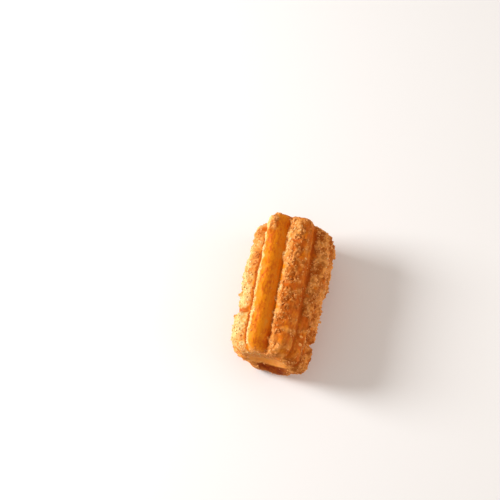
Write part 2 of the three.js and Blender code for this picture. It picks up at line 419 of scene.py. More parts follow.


# %% Where the sugar is thin
# As the bare sides, then the share of the coat that stays on them, and how brown they are from 0 to 1.
# The last column's browning holds painted light too: the smooth ridge's lit flank is painted yellow as a
# painted highlight, and the smooth ridge's face is painted paler towards its right, where less light falls.
COAT_SIDES = {
    "inside of the left ridge": ((-58, -80), (-50, -73), (-8, 26), 0.9, 0.5),
    "groove behind the smooth ridge": ((-51, -75), (-43, -68), (-24, 22), 0.0, 0.8),
    "far end of the smooth ridge": ((-62, -62), (-26, -26), (18, 26), 1.0, 0.12),
    "flank of the smooth ridge": ((-40, -62), (-30, -39), (-24, 20), 0.8, -0.1),
    "edge of the smooth ridge": ((-31, -41), (-22, -33), (-24, 18), 0.15, 0.6),
    "far end of that edge": ((-41, -42), (-24, -34), (9, 18), 0.1, 0.85),
    "face of the smooth ridge": ((-23, -34), (1, -13), (-24, 18), 0.0, 0.88),
    "far end of that face": ((-20, -20), (1, -13), (16, 26), 0.0, 0.9),
    "middle of that face": ((-18, -29), (1, -13), (-20, 26), 0.0, 0.68),
    "golden side of that face": ((-9, -22), (1, -13), (-16, 19), 0.0, 0.42),
    "far end of the left ridge": ((-125, -125), (-60, -78), (8, 26), 1.0, 0.3),
    "crest of the top ridge": ((10, 3), (24, 22), (-20, 24), 0.75, 1.0),
    "far end of the top ridge": ((-12, -12), (10, 10), (16, 26), 1.0, 0.52),
    "side of the top ridge, near": ((14, 19), (60, 50), (-24, -8), 0.3, 0.9),
    "side of the top ridge, far": ((20, 16), (42, 42), (-8, 24), 0.35, 0.9),
    "groove in the shaded side, near": ((66, 66), (77, 77), (-20, -7), 0.0, 0.9),
}


def sugar_cover(x, angle):
    cover = np.ones_like(x)
    for start, stop, along, kept, _ in COAT_SIDES.values():
        cover *= 1 - (1 - kept) * side_mask(x, angle, start, stop, along)
    return cover


# %% Browning and painted light
# How brown each ridge is painted, from 0 to 1: at its crest and at steps on to the next one, or all over.
# This is browning and painted light together: the lit left ridge and the smooth ridge's lit crest are
# painted pale, and the shaded ridges on the right brown.
BROWNING_AND_LIGHT_AT = (0.0, 0.3, 0.5, 0.6, 0.7, 0.8, 0.9)
BROWNING_AND_LIGHT = {
    "left": (0.08, 0.05, 0.0, 0.0, 0.0, 0.0, 0.1),
    "smooth": (0.1, 0.15, 0.5, 0.5, 0.65, 0.95, 1.0),
    "top": (1.0, 0.95, 0.95, 0.9, 0.85, 0.78, 0.75),
    "shaded": (0.72, 0.8, 0.85, 0.85, 0.8, 0.75, 0.75),
    "right": 0.9,
    "right_foot": 0.8,
    "left_foot": 0.75,
    "left_back": 0.45,
}
# After each ridge: how bare the groove's floor is, how dark, and from which share of its depth it is dark.
# The dark is bare deep-orange crust, darkened further as painted shade in the groove.
GROOVE_BARENESS = np.array((0.8, 0.2, 0.8, 0.8, 0.8, 0.8, 0.8, 0.8))
GROOVE_DARKNESS = np.array((0.9, 0.2, 0.5, 0.7, 0.7, 0.7, 0.7, 0.7))
GROOVE_LINE_FROM = np.array((0.9, 0.85, 0.8, 0.8, 0.8, 0.8, 0.8, 0.8))


def browning_and_light(x, angle, turn):
    """How brown the crust is painted before clouds and ends, painted light included, from the ridges first
    and then from their sides.
    """
    places = [ridge + at for ridge in range(RIDGES) for at in BROWNING_AND_LIGHT_AT]
    steps = len(BROWNING_AND_LIGHT_AT)
    values = np.concatenate([np.broadcast_to(value, steps) for value in BROWNING_AND_LIGHT.values()])
    brown_and_light = np.interp(turn, places, values, period=RIDGES)
    for start, stop, along, _, own in COAT_SIDES.values():
        brown_and_light = mix(brown_and_light, own, side_mask(x, angle, start, stop, along))
    return brown_and_light


# %% [markdown]
# ## Blisters and clumps
#
# Steam lifts small blisters in the crust, and the coat gathers in clumps. A noise texture would only shade
# such bumps. Here they are sums of many small waves, each running its own way through the dough. Their
# numbers come from the solid's own little random rule, so that the skin's bumps lie where the solid's do.

# %% Waves from a random rule
RULE_TIMES = 1664525
RULE_PLUS = 1013904223
RULE_STATES = 2**32


def seeded_random(seed):
    state = seed
    while True:
        state = (state * RULE_TIMES + RULE_PLUS) % RULE_STATES
        yield state / RULE_STATES


def make_waves(height, wavelength, count, seed):
    """Waves that add up to about this height, with lengths in millimetres from one to another."""
    random = seeded_random(seed)
    ways = []
    starts = []
    for _ in range(count):
        along = 2 * next(random) - 1
        turn = 2 * math.pi * next(random)
        length = mix(*wavelength, next(random))
        across = math.sqrt(1 - along**2)
        way = np.array((along, across * math.cos(turn), across * math.sin(turn)))
        ways.append(way * 2 * math.pi / length)
        starts.append(2 * math.pi * next(random))
    return height * math.sqrt(2 / count), np.array(ways), np.array(starts)


def wave_height(points, waves):
    scale, ways, starts = waves
    return scale * np.sin(points @ ways.T + starts).sum(axis=1)


BLISTERS = make_waves(height=0.15, wavelength=(3.0, 7.0), count=36, seed=5)
CLUMPS = make_waves(height=0.09, wavelength=(1.7, 2.8), count=36, seed=9)
print("blisters and clumps of", len(BLISTERS[1]) + len(CLUMPS[1]), "waves")

# %% [markdown]
# ## The skin
#
# The skin is a lathe shape first: a profile from the middle of one cut end, over its rim, along the side
# and into the other end, spun once around. Every point of it is then pulled to its place on the star. A
# grid could be rolled up instead, but a spin closes itself and leaves no seam. The middle of each end is
# sunk, because the dough shrinks there as it cools.

# %% Profile of the skin
END_DISH = 2.0  # how deep the middle of a cut end is sunk
END_DISH_EDGE = 0.15  # the share of the face that is flat in the middle of the dish
END_RIM = 0.66  # the share of the way out at which the face rounds over
END_ROUND = 3.6
END_CORE = 11.5  # the plain radius that the star turns into on the face
END_STAR_FROM = 0.4
END_REACH_FROM = 0.6
END_REACH_FULL = 0.95
FACE_RINGS = 26
RIM_RINGS = 16
SIDE_RINGS = 184
STEPS_AROUND = 356


def end_rings(sign):
    rings = []
    for i in range(FACE_RINGS + 1):
        out = END_RIM * i / FACE_RINGS
        dish = END_DISH * (1 - smoothstep(out / END_RIM, END_DISH_EDGE, 1))
        rings.append((sign * (LENGTH / 2 - dish), out))
    for i in range(1, RIM_RINGS + 1):
        bend = math.pi / 2 * i / RIM_RINGS
        x = sign * (LENGTH / 2 - END_ROUND * (1 - math.cos(bend)))
        rings.append((x, END_RIM + (1 - END_RIM) * math.sin(bend)))
    return rings


side_half = LENGTH / 2 - END_ROUND
side_rings = [(x, 1.0) for x in np.linspace(-side_half, side_half, SIDE_RINGS + 2)[1:-1]]
profile = end_rings(-1) + side_rings + end_rings(1)[::-1]
print(len(profile), "rings of", STEPS_AROUND, "steps")


# %% Where a point of the skin lies
def skin(ring_x, out, turn):
    """Places on the skin about the centre line, in millimetres. turn counts ridges from 0 to 8."""
    ridge = np.floor(turn).astype(int) % RIDGES
    gap = turn - np.floor(turn)
    following = (ridge + 1) % RIDGES
    ease = smoothstep(gap, 0, 1)
    start = crest_angle(ridge, ring_x)
    stop = crest_angle(following, ring_x) + np.where(following == 0, 360, 0)
    angle = mix(start, stop, gap)
    groove = groove_shape(gap, between(FLOOR[ridge], ring_x), between(LATE[ridge], ring_x))
    crest = mix(crest_radius(ridge, ring_x), crest_radius(following, ring_x), ease)
    star_radius = crest - between(GROOVE[ridge], ring_x) * groove
    end = np.where(ring_x < 0, 0, 1)
    to_end = smoothstep(np.abs(share(ring_x)), END_REACH_FROM, END_REACH_FULL) * out
    x = ring_x + np.sign(ring_x) * mix(REACH[ridge, end], REACH[following, end], ease) * to_end
    starred = smoothstep(out, END_STAR_FROM, 1)
    radius = mix(END_CORE, star_radius - crease_depth(x, angle, CREASES), starred) * out
    outward = np.stack((np.zeros_like(x), -np.sin(np.radians(angle)), np.cos(np.radians(angle))), 1)
    points = outward * radius[:, None]
    points[:, 0] = x
    cover = crust_cover(x, angle)
    bumps = wave_height(points, BLISTERS) + wave_height(points, CLUMPS)
    points += outward * (bumps * cover * out)[:, None]
    tear = np.clip(crease_depth(x, angle, TEARS), 0, 1)
    return {
        "points": points,
        "outward": outward,
        "cover": cover,
        "groove": groove * starred,
        "angle": turn_between(angle, 0),
        "tear": tear,
    }


# %% Spin the profile
MERGE_DISTANCE = 1e-5


def order_faces(shape):
    """Put the faces in the order of their points, because some operators leave them in any order."""
    shape.verts.index_update()
    in_order = sorted(shape.faces, key=lambda face: sorted(vert.index for vert in face.verts))
    for i, face in enumerate(in_order):
        face.index = i
    shape.faces.sort()


skin_shape = bmesh.new()
profile_verts = [skin_shape.verts.new((x, 0, out * CREST_RADIUS)) for x, out in profile]
profile_edges = [skin_shape.edges.new(pair) for pair in zip(profile_verts, profile_verts[1:])]
bmesh.ops.spin(
    skin_shape,
    geom=profile_verts + profile_edges,
    axis=(1, 0, 0),
    cent=(0, 0, 0),
    angle=2 * math.pi,
    steps=STEPS_AROUND,
    use_merge=True,
)
bmesh.ops.remove_doubles(skin_shape, verts=skin_shape.verts, dist=MERGE_DISTANCE)
bmesh.ops.recalc_face_normals(skin_shape, faces=skin_shape.faces)
order_faces(skin_shape)  # so that seeded draws over the faces give the same grains each time
skin_mesh = mesh_of("churro_dough", skin_shape)
print(len(skin_mesh.vertices), "points,", len(skin_mesh.polygons), "faces")


# %% Read the lathe's rings and steps back from its points
def mesh_points(mesh):
    points = np.empty(len(mesh.vertices) * 3)
    mesh.vertices.foreach_get("co", points)
    return points.reshape(-1, 3)


lathe_points = mesh_points(skin_mesh)
lathe_x = lathe_points[:, 0]
lathe_out = np.hypot(lathe_points[:, 1], lathe_points[:, 2]) / CREST_RADIUS
lathe_turn = np.mod(np.arctan2(-lathe_points[:, 1], lathe_points[:, 2]) / (2 * math.pi), 1) * RIDGES
form = skin(lathe_x, lathe_out, lathe_turn)

# %% [markdown]
# ## The near end, the coat's edge and the fine relief
#
# The cut near end is sugared at the top, then has a smooth lip, painted paler in part as painted light, and
# under it a dark band of painted shade. The coat ends in an uneven line, because sugar falls off in flakes.
# All this could be painted by hand. Worked out for each point from its place, it stays sharp close up and is
# easy to change. A fine relief comes last, too small for the solid: rough under the sugar, with nozzle marks
# along the bare sides.

# %% The near end
# A slanting plane parts the end in three: sugared above, a smooth paler lip, and painted shade below.
# Heights are in millimetres over the table, at the end's rim.
NEAR_END_FROM = (-22.5, -20.5)
SLANT = 2.86
# The lip is smooth bare crust, painted paler in part as painted light on the rim.
LIP_FROM = (9.2, 10.4)
LIP_TO = (13.2, 17.0)
LIP_ACROSS = (-7.0, 5.2)
LIP_EDGE = 1.0
# Below the lip the end is painted dark: painted shade. Close to the table it is lighter, as painted light
# thrown up from the table.
SHADE_BELOW = (8.6, 9.8)
SHADE_ACROSS = (-7.0, 2.8)
SHADE_EDGE = 1.2
FOOT_SHADE = 0.5  # what is left of the dark close to the table
FOOT_HEIGHT = (1.5, 6.0)
END_WAVES = make_waves(height=0.35, wavelength=(4.0, 9.0), count=30, seed=77)

points = form["points"]
height = points[:, 2] + REST_DEPTH
near_end = 1 - smoothstep(points[:, 0], *NEAR_END_FROM)
slanted = height + SLANT * (points[:, 0] + LENGTH / 2) + wave_height(points, END_WAVES)
near_lip = near_end * smoothstep(slanted, *LIP_FROM) * (1 - smoothstep(slanted, *LIP_TO))
near_lip *= inside(points[:, 1], *LIP_ACROSS, LIP_EDGE)
# near_shade is the painted shade under the lip.
near_shade = near_end * (1 - smoothstep(slanted, *SHADE_BELOW))
near_shade *= inside(points[:, 1], *SHADE_ACROSS, SHADE_EDGE)
near_shade *= mix(FOOT_SHADE, 1, smoothstep(height, *FOOT_HEIGHT))
print("near end:", np.count_nonzero(near_end), "points")

# %% Where the coat is
COAT_PATCHES = make_waves(height=1.0, wavelength=(2.5, 6.0), count=40, seed=41)
EDGE_WAVES = make_waves(height=1.7, wavelength=(1.8, 4.0), count=40, seed=63)  # their height is in degrees
PATCHINESS = 0.35
PIT_TEARING = 2  # how torn the crust is in a small pit, for each millimetre of depth
FOLD_HEIGHT = 0.25
GROOVE_FLOOR_FROM = 0.8
END_BARENESS = 0.9

small_crease = crease_depth(points[:, 0], form["angle"], SMALL_CREASES)
tear = np.clip(form["tear"] + PIT_TEARING * np.maximum(small_crease, 0), 0, 1)
fold = np.clip(-small_crease / FOLD_HEIGHT, 0, 1)

ridge_before = np.floor(lathe_turn).astype(int) % RIDGES
groove_floor = smoothstep(form["groove"], GROOVE_FLOOR_FROM, 1.0) * GROOVE_BARENESS[ridge_before]
# A groove's floor gets a dark line: bare crust, darkened as painted shade.
dark_line = smoothstep(form["groove"], GROOVE_LINE_FROM[ridge_before], 1.0)
dark_line *= GROOVE_DARKNESS[ridge_before]

wavy_angle = form["angle"] + wave_height(points, EDGE_WAVES)
coat = sugar_cover(points[:, 0], wavy_angle) * (1 - groove_floor) * (1 - dark_line)
coat *= (1 - tear) * (1 - END_BARENESS * near_lip) * (1 - END_BARENESS * near_shade)
patches = wave_height(points, COAT_PATCHES)
coat = np.clip(coat * (1 + PATCHINESS * patches), 0, 1)
print("the coat covers", round(100 * coat.mean()), "% of the points")

# %% How brown the crust is, painted light included
BROWN_CLOUDS = make_waves(height=1.0, wavelength=(3.0, 9.0), count=40, seed=57)
CLUSTERS = make_waves(height=0.65, wavelength=(1.6, 3.2), count=48, seed=27)
CLOUDINESS = (0.08, 0.2)  # on bare crust and under the coat
PALEST_SHARE = 0.75  # the palest spots of a ridge keep this share of its browning
NEAR_END_BROWN = (0.66, 0.95)  # on its left and on its right
NEAR_END_RIGHT = (4.0, 9.0)
NEAR_END_SHARE = 0.7
FAR_END_FROM = (21.5, 23.5)
FAR_END_BROWN = 0.7
FAR_END_SHARE = 0.8
LIP_BROWN = 0.42
LIP_CLOUDINESS = 0.3
FOLD_PALENESS = 0.25

# The browning from the ridges and sides carries painted light: pale where the light falls, brown in shade.
even_brown_and_light = browning_and_light(points[:, 0], wavy_angle, lathe_turn)
clouds = mix(*CLOUDINESS, coat) * wave_height(points, BROWN_CLOUDS)
brown_and_light = np.maximum(even_brown_and_light + clouds, PALEST_SHARE * even_brown_and_light)
near_brown = mix(*NEAR_END_BROWN, smoothstep(-points[:, 1], *NEAR_END_RIGHT))
brown_and_light = mix(brown_and_light, near_brown, NEAR_END_SHARE * near_end)
brown_and_light = mix(brown_and_light, FAR_END_BROWN, FAR_END_SHARE * smoothstep(points[:, 0], *FAR_END_FROM))
lip_brown = LIP_BROWN + LIP_CLOUDINESS * wave_height(points, CLUSTERS)
brown_and_light = np.clip(mix(brown_and_light, lip_brown, near_lip) - FOLD_PALENESS * fold, 0, 1)
print("browning:", round(brown_and_light.mean(), 2), "on average")

# %% Fine relief
PEBBLES = make_waves(height=0.75, wavelength=(0.8, 1.5), count=48, seed=21)
PEBBLES_HEIGHT = 0.25
PEBBLES_ON_BARE = 0.12  # the share of that height on bare crust
NOZZLE_MARKS = make_waves(height=1.0, wavelength=(1.1, 3.0), count=40, seed=33)
MARKS_STRETCH = np.array((0.09, 1.0, 1.0))  # the marks are long and run along the churro
MARKS_HEIGHT = 0.06
COAT_THICKNESS = 0.2
COAT_FULL = 0.8
SOLID_IN_COAT = 0.7  # the share of the coat's thickness that lies inside the solid
RELIEF_FROM = (0.0, 0.5)  # on the cut ends the relief grows on the way out

pebbles = wave_height(points, PEBBLES) + wave_height(points, CLUSTERS)
relief = COAT_THICKNESS * (smoothstep(coat, 0.0, COAT_FULL) - SOLID_IN_COAT) - small_crease
relief += PEBBLES_HEIGHT * pebbles * mix(PEBBLES_ON_BARE, 1, coat)
relief += MARKS_HEIGHT * wave_height(points * MARKS_STRETCH, NOZZLE_MARKS) * (1 - coat)
points += form["outward"] * (relief * smoothstep(lathe_out, *RELIEF_FROM))[:, None]
points[:, 2] += REST_DEPTH
print("relief from", round(relief.min(), 2), "to", round(relief.max(), 2), "mm")

# %% Tones of the coat and of its grains
# 0 is the palest tone and 1 the deepest. Pits and hollows are painted deeper than what stands up around
# them: painted shade in the recesses.
PIT_RANGE = (-0.5, 1.2)
HOLLOW_RANGE = (-0.5, 0.7)
BROWN_AND_LIGHT_WEIGHT = 0.92
PIT_WEIGHT = 0.24
HOLLOW_WEIGHT = 0.32
LEVEL = 0.4  # a pit or hollow as deep as this has the crust's own tone
PALER_AT_MOST = 0.12
TONE_ON_BARE = 0.8  # a grain on bare crust is as brown as the crust
COATED = (0.1, 0.6)
# The top ridge's left edge gets paler crumbs, closer together, partly as painted light on its lit side.
PALE_EDGE = ((4, -9), (13, 5), (-24, 22))  # the top ridge's edge, where pale crumbs sit close
PALE_EDGE_STEP = 0.17

pit = smoothstep(-pebbles, *PIT_RANGE)
hollow = smoothstep(-wave_height(points, CLUSTERS), *HOLLOW_RANGE)
tone = BROWN_AND_LIGHT_WEIGHT * brown_and_light + PIT_WEIGHT * (pit - LEVEL) + HOLLOW_WEIGHT * (hollow - LEVEL)
tone = np.maximum(tone, BROWN_AND_LIGHT_WEIGHT * brown_and_light - PALER_AT_MOST)
pale_edge = side_mask(points[:, 0], form["angle"], *PALE_EDGE)
grain_tone = mix(TONE_ON_BARE, tone, smoothstep(coat, *COATED)) - PALE_EDGE_STEP * pale_edge
print("grains' tone:", round(grain_tone.mean(), 2), "on average")

# %% Set the skin on the table and centre it as the solid is
points[:, 2] = np.maximum(points[:, 2], 0)
skin_low = points.min(axis=0)
skin_high = points.max(axis=0)
solid_middle = np.array((churro_middle.x, churro_middle.y, 0)) / MM
skin_middle = (skin_low + skin_high) / 2 * np.array((1, 1, 0))
skin_shift = solid_middle - skin_middle
points += skin_shift
skin_mesh.vertices.foreach_set("co", (points * MM).ravel())
skin_mesh.update()
print("skin:", (skin_high - skin_low).round(2), "mm, moved by", skin_shift.round(3))

# %% Keep what the finish needs to know
FOLD_AS_LIP = 0.8  # a fold shows the same pale smooth crust as the lip does, a little less of it
STORED_AS = {
    "FLOAT": ("value", np.float32),
    "INT": ("value", np.int32),
    "FLOAT_VECTOR": ("vector", np.float32),
}


def keep_value(mesh, name, values, kind="FLOAT"):
    field, number = STORED_AS[kind]
    layer = mesh.attributes.new(name, kind, "POINT")
    layer.data.foreach_set(field, values.astype(number).ravel())


kept_values = {
    "coat": coat,
    "dark_line": dark_line,
    "near_lip": np.maximum(near_lip, FOLD_AS_LIP * fold),
    "near_shade": near_shade,
    "brown_and_light": brown_and_light,
    "pit": pit,
    "tone": tone,
    "tear": tear,
}
for name, values in kept_values.items():
    keep_value(skin_mesh, name, values)
skin_mesh.polygons.foreach_set("use_smooth", np.ones(len(skin_mesh.polygons), bool))
dough = add_object("churro_dough", skin_mesh)
print("kept with the skin:", ", ".join(kept_values))

# %% [markdown]
# ## Shared effects
#
# Fried dough is never one colour. It is pale where it was lifted from the oil, and browner where it lay
# deep. Three small groups serve the finishes below: a mottle of soft clouds, a grain that makes fine bumps,
# and three tones from pale to deep, of which one value picks the shade. An image wrapped around the dough
# could do the same, but would blur close up and show its seams.

# %% Mottle
CLOUD_EDGE = (0.32, 0.68)

mottle, given, result = new_group(
    "Mottle",
    [("Size in mm", "Float", 2.0), ("Stretch", "Float", 1.0)],
    [("Amount", "Float")],
)
place = add_node(mottle, "ShaderNodeTexCoord").outputs["Object"]
along = maths(mottle, "DIVIDE", 1.0, given["Stretch"])
scaling = add_node(mottle, "ShaderNodeCombineXYZ", {"X": along, "Y": 1.0, "Z": 1.0})
stretched = add_node(
    mottle, "ShaderNodeVectorMath", {0: place, 1: scaling.outputs[0]}, operation="MULTIPLY"
)
per_metre = maths(mottle, "DIVIDE", 1 / MM, given["Size in mm"])
cloud = add_node(
    mottle,
    "ShaderNodeTexNoise",
    {"Vector": stretched.outputs[0], "Scale": per_metre, "Detail": 3.0, "Roughness": 0.6},
)
mottle.links.new(ramp(mottle, cloud.outputs[0], *CLOUD_EDGE), result["Amount"])

# %% Grain that makes fine bumps
grain, given, result = new_group(
    "Grain",
    [("Size in mm", "Float", 0.5)],
    [("Height", "Float"), ("Cell", "Float")],
)
place = add_node(grain, "ShaderNodeTexCoord").outputs["Object"]
per_metre = maths(grain, "DIVIDE", 1 / MM, given["Size in mm"])
cells = add_node(grain, "ShaderNodeTexVoronoi", {"Vector": place, "Scale": per_metre})
rough = add_node(
    grain, "ShaderNodeTexNoise", {"Vector": place, "Scale": per_metre, "Detail": 2.0}
)
domes = maths(grain, "SUBTRACT", 1.0, cells.outputs["Distance"])
grain.links.new(maths(grain, "MULTIPLY", domes, rough.outputs[0]), result["Height"])
cell_tone = add_node(grain, "ShaderNodeSeparateColor", {0: cells.outputs["Color"]})
grain.links.new(cell_tone.outputs[0], result["Cell"])

# %% Three tones
three_tones, given, result = new_group(
    "Three tones",
    [
        ("Tone", "Float", 0.5),
        ("Pale", "Color", (0.8, 0.6, 0.3, 1)),
        ("Middle", "Color", (0.7, 0.4, 0.1, 1)),
        ("Deep", "Color", (0.5, 0.2, 0.05, 1)),
    ],
    [("Color", "Color")],
)
lower = ramp(three_tones, given["Tone"], 0.0, 0.5)
upper = ramp(three_tones, given["Tone"], 0.5, 1.0)
paler_half = mix_colours(three_tones, lower, given["Pale"], given["Middle"])
three_tones.links.new(mix_colours(three_tones, upper, paler_half, given["Deep"]), result["Color"])
print("shared effects:", [group.name for group in (mottle, grain, three_tones)])


def toned(tree, tone, pale, middle, deep):
    sockets = {"Tone": tone, "Pale": (*pale, 1), "Middle": (*middle, 1), "Deep": (*deep, 1)}
    return use_group(tree, three_tones, sockets)["Color"]


# %% [markdown]
# ## The crust's finish
#
# Bare crust is smooth, amber and a little greasy. Under the sugar it is rough and duller, and looks like
# packed grains. The mask "coat", kept with the mesh, says which is which, so the finish and the loose
# grains agree. The grooves with their painted shade, the tears, the lip, painted paler in part as painted
# light, and the painted shade on the near end are laid over it one by one.

# %% Crust colours
BARE_TONES = (0.70, 0.34, 0.045), (0.80, 0.24, 0.006), (0.60, 0.118, 0.006)
PACKED_TONES = (0.78, 0.57, 0.23), (0.84, 0.33, 0.070), (0.38, 0.090, 0.008)
PALEST_STREAK = 0.84  # streaks are no paler than this share of the browning

crust_finish, tree, shader = new_finish("fried_crust")
coat_here = own_value(tree, "coat")
brown_and_light_here = own_value(tree, "brown_and_light")


def times(tree, value, share):
    return maths(tree, "MULTIPLY", value, share)


def clouded(tree, value, strength, size, stretch):
    cloud = use_group(tree, mottle, {"Size in mm": size, "Stretch": stretch})["Amount"]
    return maths(tree, "MULTIPLY_ADD", cloud, strength, third=maths(tree, "SUBTRACT", value, strength / 2))


long_clouds = clouded(tree, brown_and_light_here, strength=0.18, size=2.4, stretch=3.0)
streaked = clouded(tree, long_clouds, strength=0.36, size=0.6, stretch=2.0)
bare_tone = maths(tree, "MAXIMUM", streaked, times(tree, brown_and_light_here, PALEST_STREAK))
bare = toned(tree, bare_tone, *BARE_TONES)
coat_tone = clouded(tree, own_value(tree, "tone"), strength=0.25, size=2.2, stretch=1.0)
packed = toned(tree, coat_tone, *PACKED_TONES)

# %% Layers of the crust
COAT_EDGE = (0.08, 0.6)
# Pits are painted darker than the coat around them: painted shade in the recesses of the relief.
PALE_PIT = (0.72, 0.41, 0.11, 1)
BROWN_PIT = (0.51, 0.112, 0.006, 1)
PIT_SHARE = 0.9
GROOVE_COLOUR = (0.34, 0.06, 0.004, 1)
TEAR_COLOUR = (0.52, 0.09, 0.005, 1)
TEAR_SHARE = 0.8
# The lip's colour: a paler crust, partly painted light.
LIP_COLOUR = (0.88, 0.34, 0.07, 1)
LIP_SHARE = 0.6
# Painted shade on the near end under the lip.
SHADE_COLOUR = (0.19, 0.02, 0.001, 1)
SHADE_MOTTLE = 0.22

pits = mix_colours(tree, brown_and_light_here, PALE_PIT, BROWN_PIT)
pitted = mix_colours(tree, times(tree, own_value(tree, "pit"), PIT_SHARE), packed, pits)
coat_mask = ramp(tree, coat_here, *COAT_EDGE)
coloured = mix_colours(tree, coat_mask, bare, pitted)
# The groove's dark line: bare crust, darkened as painted shade.
grooved = mix_colours(tree, own_value(tree, "dark_line"), coloured, GROOVE_COLOUR)
torn = mix_colours(tree, times(tree, own_value(tree, "tear"), TEAR_SHARE), grooved, TEAR_COLOUR)
lipped = mix_colours(tree, times(tree, own_value(tree, "near_lip"), LIP_SHARE), torn, LIP_COLOUR)
# The near end's painted shade, mottled.
uneven = use_group(tree, mottle, {"Size in mm": 1.3})["Amount"]
mottled = maths(tree, "MULTIPLY_ADD", uneven, SHADE_MOTTLE, third=1 - SHADE_MOTTLE)
painted_shade_share = times(tree, own_value(tree, "near_shade"), mottled)
shaded = mix_colours(tree, painted_shade_share, lipped, SHADE_COLOUR)
tree.links.new(shaded, shader.inputs["Base Color"])

# %% Sheen and bumps of the crust
BUMPS_ON_BARE = 0.15  # the share of their height on bare crust

dull = maths(tree, "MAXIMUM", coat_mask, own_value(tree, "near_shade"))
gloss = add_node(tree, "ShaderNodeMapRange", {"Value": dull, "To Min": 0.48, "To Max": 0.8})
tree.links.new(gloss.outputs["Result"], shader.inputs["Roughness"])
shader.inputs["Specular IOR Level"].default_value = 0.06
bumps = use_group(tree, grain, {"Size in mm": 0.5})["Height"]
bumps_left = maths(tree, "MULTIPLY_ADD", coat_mask, 1 - BUMPS_ON_BARE, third=BUMPS_ON_BARE)
add_bumps(tree, shader, times(tree, bumps, bumps_left), strength=0.6, millimetres=0.1)
skin_mesh.materials.append(crust_finish)
print(crust_finish.name, "has", len(tree.nodes), "nodes")

# %% [markdown]
# ## Where the grains sit
#
# Sugar catches on crests and rough crust and misses the smooth sides. A particle system could place it. Here
# seats are drawn at random over the skin's triangles, more of them where the coat is thick, and from a
# seed, so the same grains come back each time.

# %% Seats on the skin
LOWEST_SEAT = 0.7 * MM
LEAST_AREA = 1e-15

skin_points = mesh_points(skin_mesh)
skin_mesh.calc_loop_triangles()
triangles = np.empty(len(skin_mesh.loop_triangles) * 3, np.int32)
skin_mesh.loop_triangles.foreach_get("vertices", triangles)
triangles = triangles.reshape(-1, 3)
corners = skin_points[triangles]
crossed = np.cross(corners[:, 1] - corners[:, 0], corners[:, 2] - corners[:, 0])
areas = np.linalg.norm(crossed, axis=1) / 2
normals = crossed / np.maximum(np.linalg.norm(crossed, axis=1), LEAST_AREA)[:, None]


def pick_seats(count, weight, random):
    """Random places, outward directions and triangles, more where the points' weight is large."""
    chance = areas * weight[triangles].mean(axis=1)
    chance = np.where(corners[:, :, 2].min(axis=1) < LOWEST_SEAT, 0, chance)
    chosen = random.choice(len(chance), count, p=chance / chance.sum())
    first, second = random.random((2, count, 1))
    over = first + second > 1
    first = np.where(over, 1 - first, first)
    second = np.where(over, 1 - second, second)
    origin, toward, aside = corners[chosen].transpose(1, 0, 2)
    places = origin + (toward - origin) * first + (aside - origin) * second
    return places, normals[chosen], chosen


print("skin area:", round(areas.sum() / MM**2), "square mm")

# %% How densely grains sit, and what each is like
RAISED_RANGE = (-0.8, 1.0)
MOST_CROWDED = 2

raised = smoothstep(pebbles, *RAISED_RANGE)


def crowding(coated, on_bare, steady, patchy, least):
    """Weight for the seats: grows with the coat in the given range, and is uneven as its patches are."""
    grown = mix(on_bare, 1, smoothstep(coat, *coated))
    return grown * np.clip(steady + patchy * patches, least, MOST_CROWDED)


def draw_size(count, millimetres, small_ones, random):
    """Sizes from one to another in metres. Above 1, small_ones makes more of them small."""
    return mix(*millimetres, random.random(count) ** small_ones)[:, None] * MM


def draw_grains(count, weight, random, millimetres, small_ones, widths, lifted, tone_share, spread):
    """Places, three sizes and a tone for each grain. widths and lifted are shares of its size."""
    places, outward, chosen = pick_seats(count, weight, random)
    size = draw_size(count, millimetres, small_ones, random)
    sizes = size * random.uniform(*widths, (count, 3))
    places = places + outward * size * random.uniform(*lifted, (count, 1))
    own_tone = tone_share * grain_tone[triangles[chosen]].mean(axis=1)
    return places, sizes, np.clip(random.normal(own_tone, spread), 0, 1)


# %% [markdown]
# ## Loose grains
#
# A few small shapes are made for each kind, with bmesh: a cube with some corners cut off is a sugar
# crystal, a dented ball is a crumb. Geometry nodes then put a copy on every seat, each with its own turn,
# size and tone, and make one plain mesh of them all. Thousands of objects would do the same, but slowly.

# %% Shapes of the grains
# All are about 1 across, so a grain's size in metres is its scale.
CORNER_CUT = 0.3
CRYSTAL_UNEVENNESS = 0.1
DENTS = 12
DENT_LENGTH = (0.7, 1.6)
DENT_SEEDS = (1, 1000)
DEEPEST_DENT = 1.5
LUMP_UNEVENNESS = 0.03


def shape_object(name, shape, smooth):
    for face in shape.faces:
        face.smooth = smooth
    return bpy.data.objects.new(name, mesh_of(name, shape))


def crystal(name, cut_corners, random):
    shape = bmesh.new()
    bmesh.ops.create_cube(shape, size=1.0)
    all_corners = shape.verts[:]
    cut = [all_corners[i] for i in random.choice(len(all_corners), cut_corners, replace=False)]
    if cut:
        bmesh.ops.bevel(
            shape, geom=cut, offset=CORNER_CUT, affect="VERTICES", segments=1, profile=0.5, material=-1
        )
    for vert in shape.verts:
        vert.co += Vector(random.uniform(-CRYSTAL_UNEVENNESS, CRYSTAL_UNEVENNESS, 3))
    bmesh.ops.triangulate(shape, faces=shape.faces)
    order_faces(shape)
    return shape_object(name, shape, smooth=False)


def lump(name, detail, roughness, random):
    shape = bmesh.new()
    bmesh.ops.create_icosphere(shape, subdivisions=detail, radius=0.5)
    dents = make_waves(1.0, DENT_LENGTH, DENTS, int(random.integers(*DENT_SEEDS)))
    depth = wave_height(np.array([vert.co for vert in shape.verts]), dents)
    for vert, dent in zip(shape.verts, depth):
        vert.co *= 1 + roughness * float(np.clip(dent, -DEEPEST_DENT, DEEPEST_DENT))
        vert.co += Vector(random.uniform(-LUMP_UNEVENNESS, LUMP_UNEVENNESS, 3))
    return shape_object(name, shape, smooth=True)


